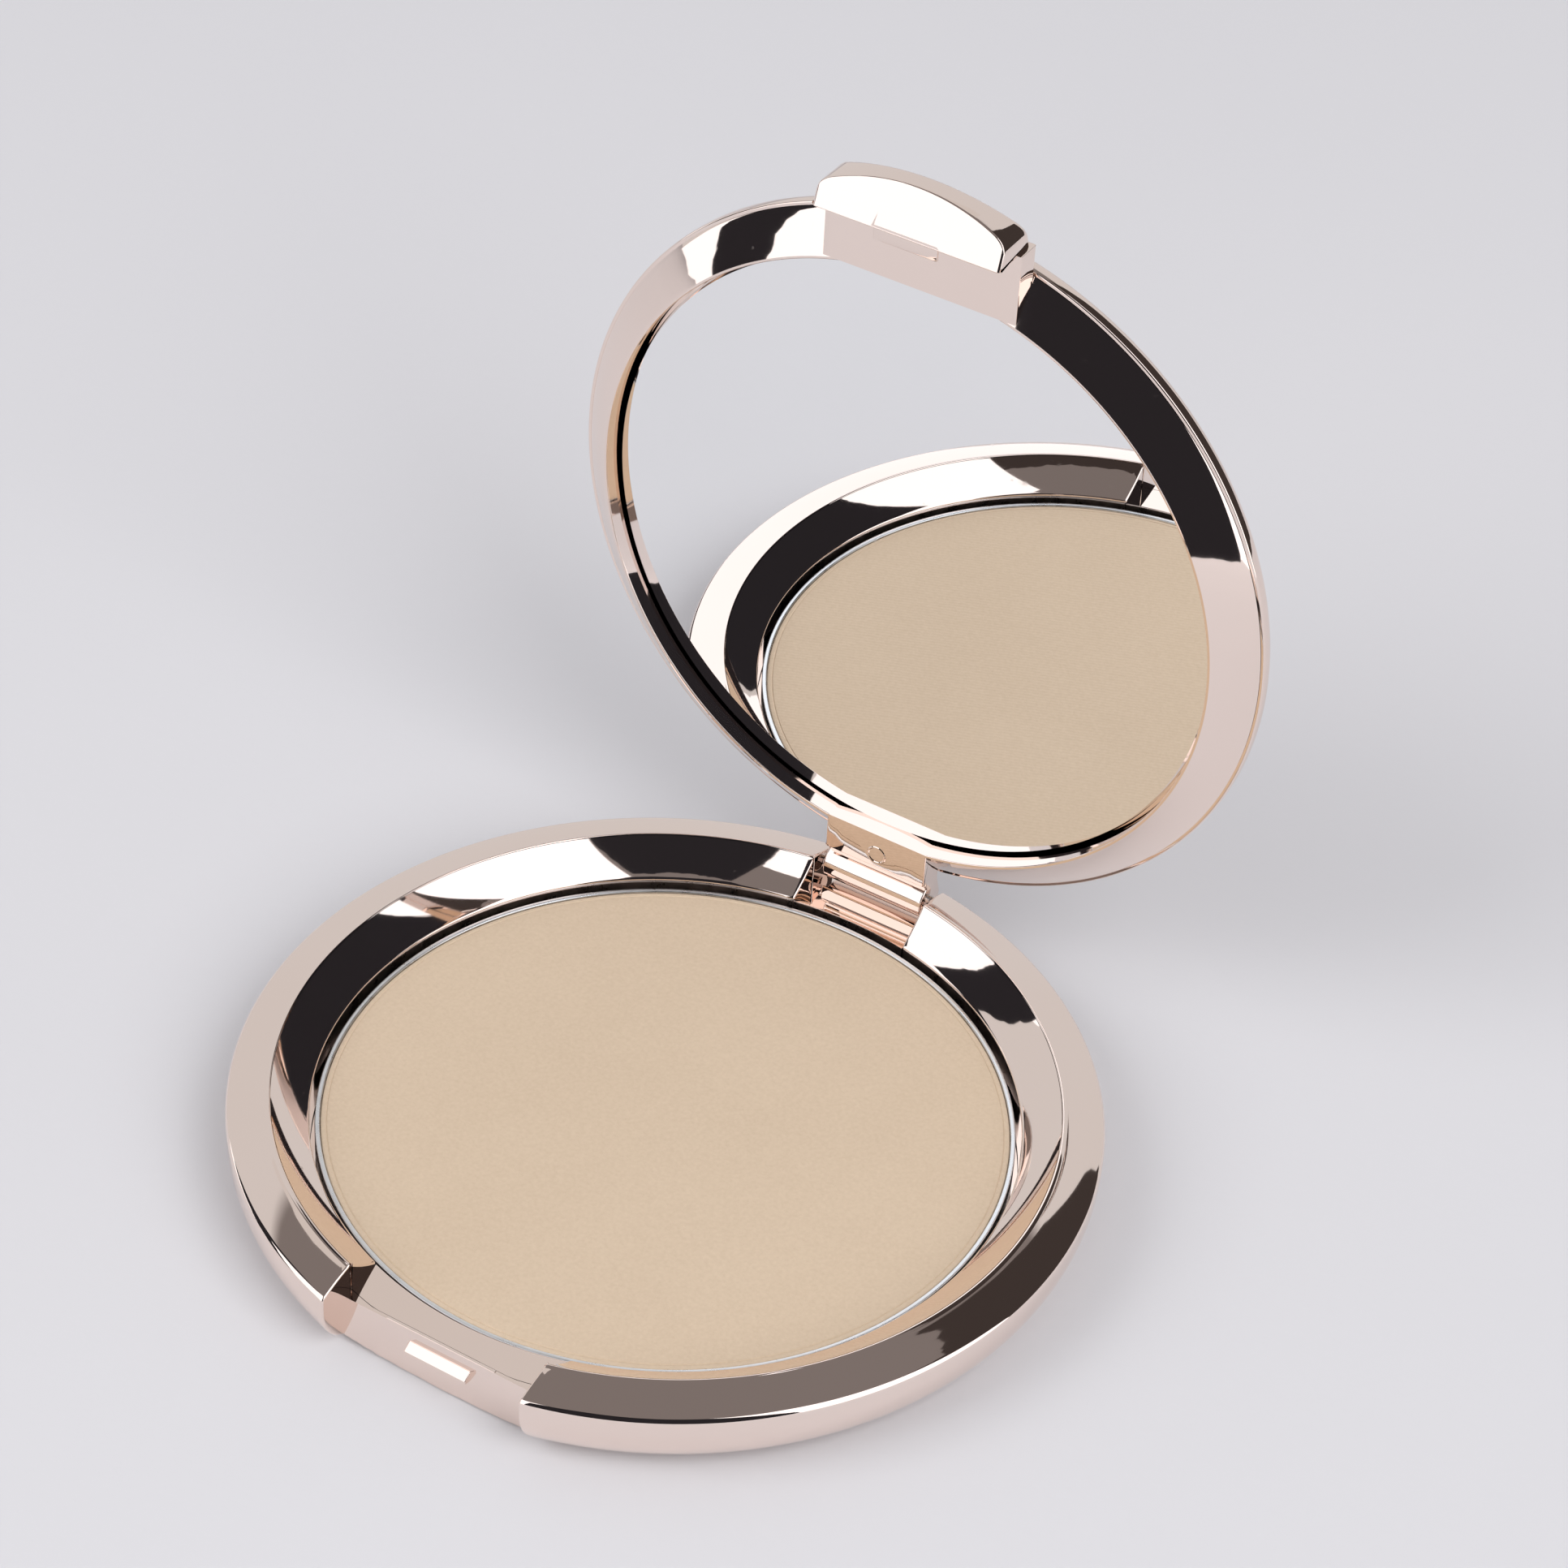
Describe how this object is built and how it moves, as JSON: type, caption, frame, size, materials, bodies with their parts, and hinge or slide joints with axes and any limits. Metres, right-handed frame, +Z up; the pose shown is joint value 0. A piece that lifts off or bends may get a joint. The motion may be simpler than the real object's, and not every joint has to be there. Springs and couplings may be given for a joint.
{
  "type": "powder compact",
  "caption": "Round mirrored powder compact: a hinged lid nests in the base and snaps shut by a front tab over a finger notch, with pressed powder in a metal pan.",
  "frame": {"origin": "centre of the round base, on its flat underside", "axes": "+Z up from the underside, +Y towards the hinge, -Y towards the latch tab's pocket, +X to the right seen from the latch side"},
  "size_m": [0.0732, 0.0736, 0.0798],
  "materials": {
    "rose_gold_plating": "vacuum-plated plastic, mirror gloss, pale rose gold",
    "pan_metal": "pressed sheet, satin",
    "pressed_powder": "matte pressed powder, warm beige",
    "pin_steel": "drawn wire",
    "adhesive": "double-sided adhesive film",
    "silvered_glass": "silvered glass, polished"
  },
  "bodies": {
    "base": {"base_shell": "rose_gold_plating", "base_frame": "rose_gold_plating", "pan_pad": "adhesive", "powder_pan": "pan_metal", "powder_cake": "pressed_powder", "hinge_pin": "pin_steel"},
    "lid": {"lid_frame": "rose_gold_plating", "lid_cover": "rose_gold_plating", "mirror_pad": "adhesive", "mirror": "silvered_glass"}
  },
  "joints": [
    {"name": "lid_hinge", "type": "hinge", "parent": "base", "child": "lid", "pos_m": [0, 0.03482, 0.0067], "axis": [1, 0, 0], "range_deg": [0, 89]}
  ]
}
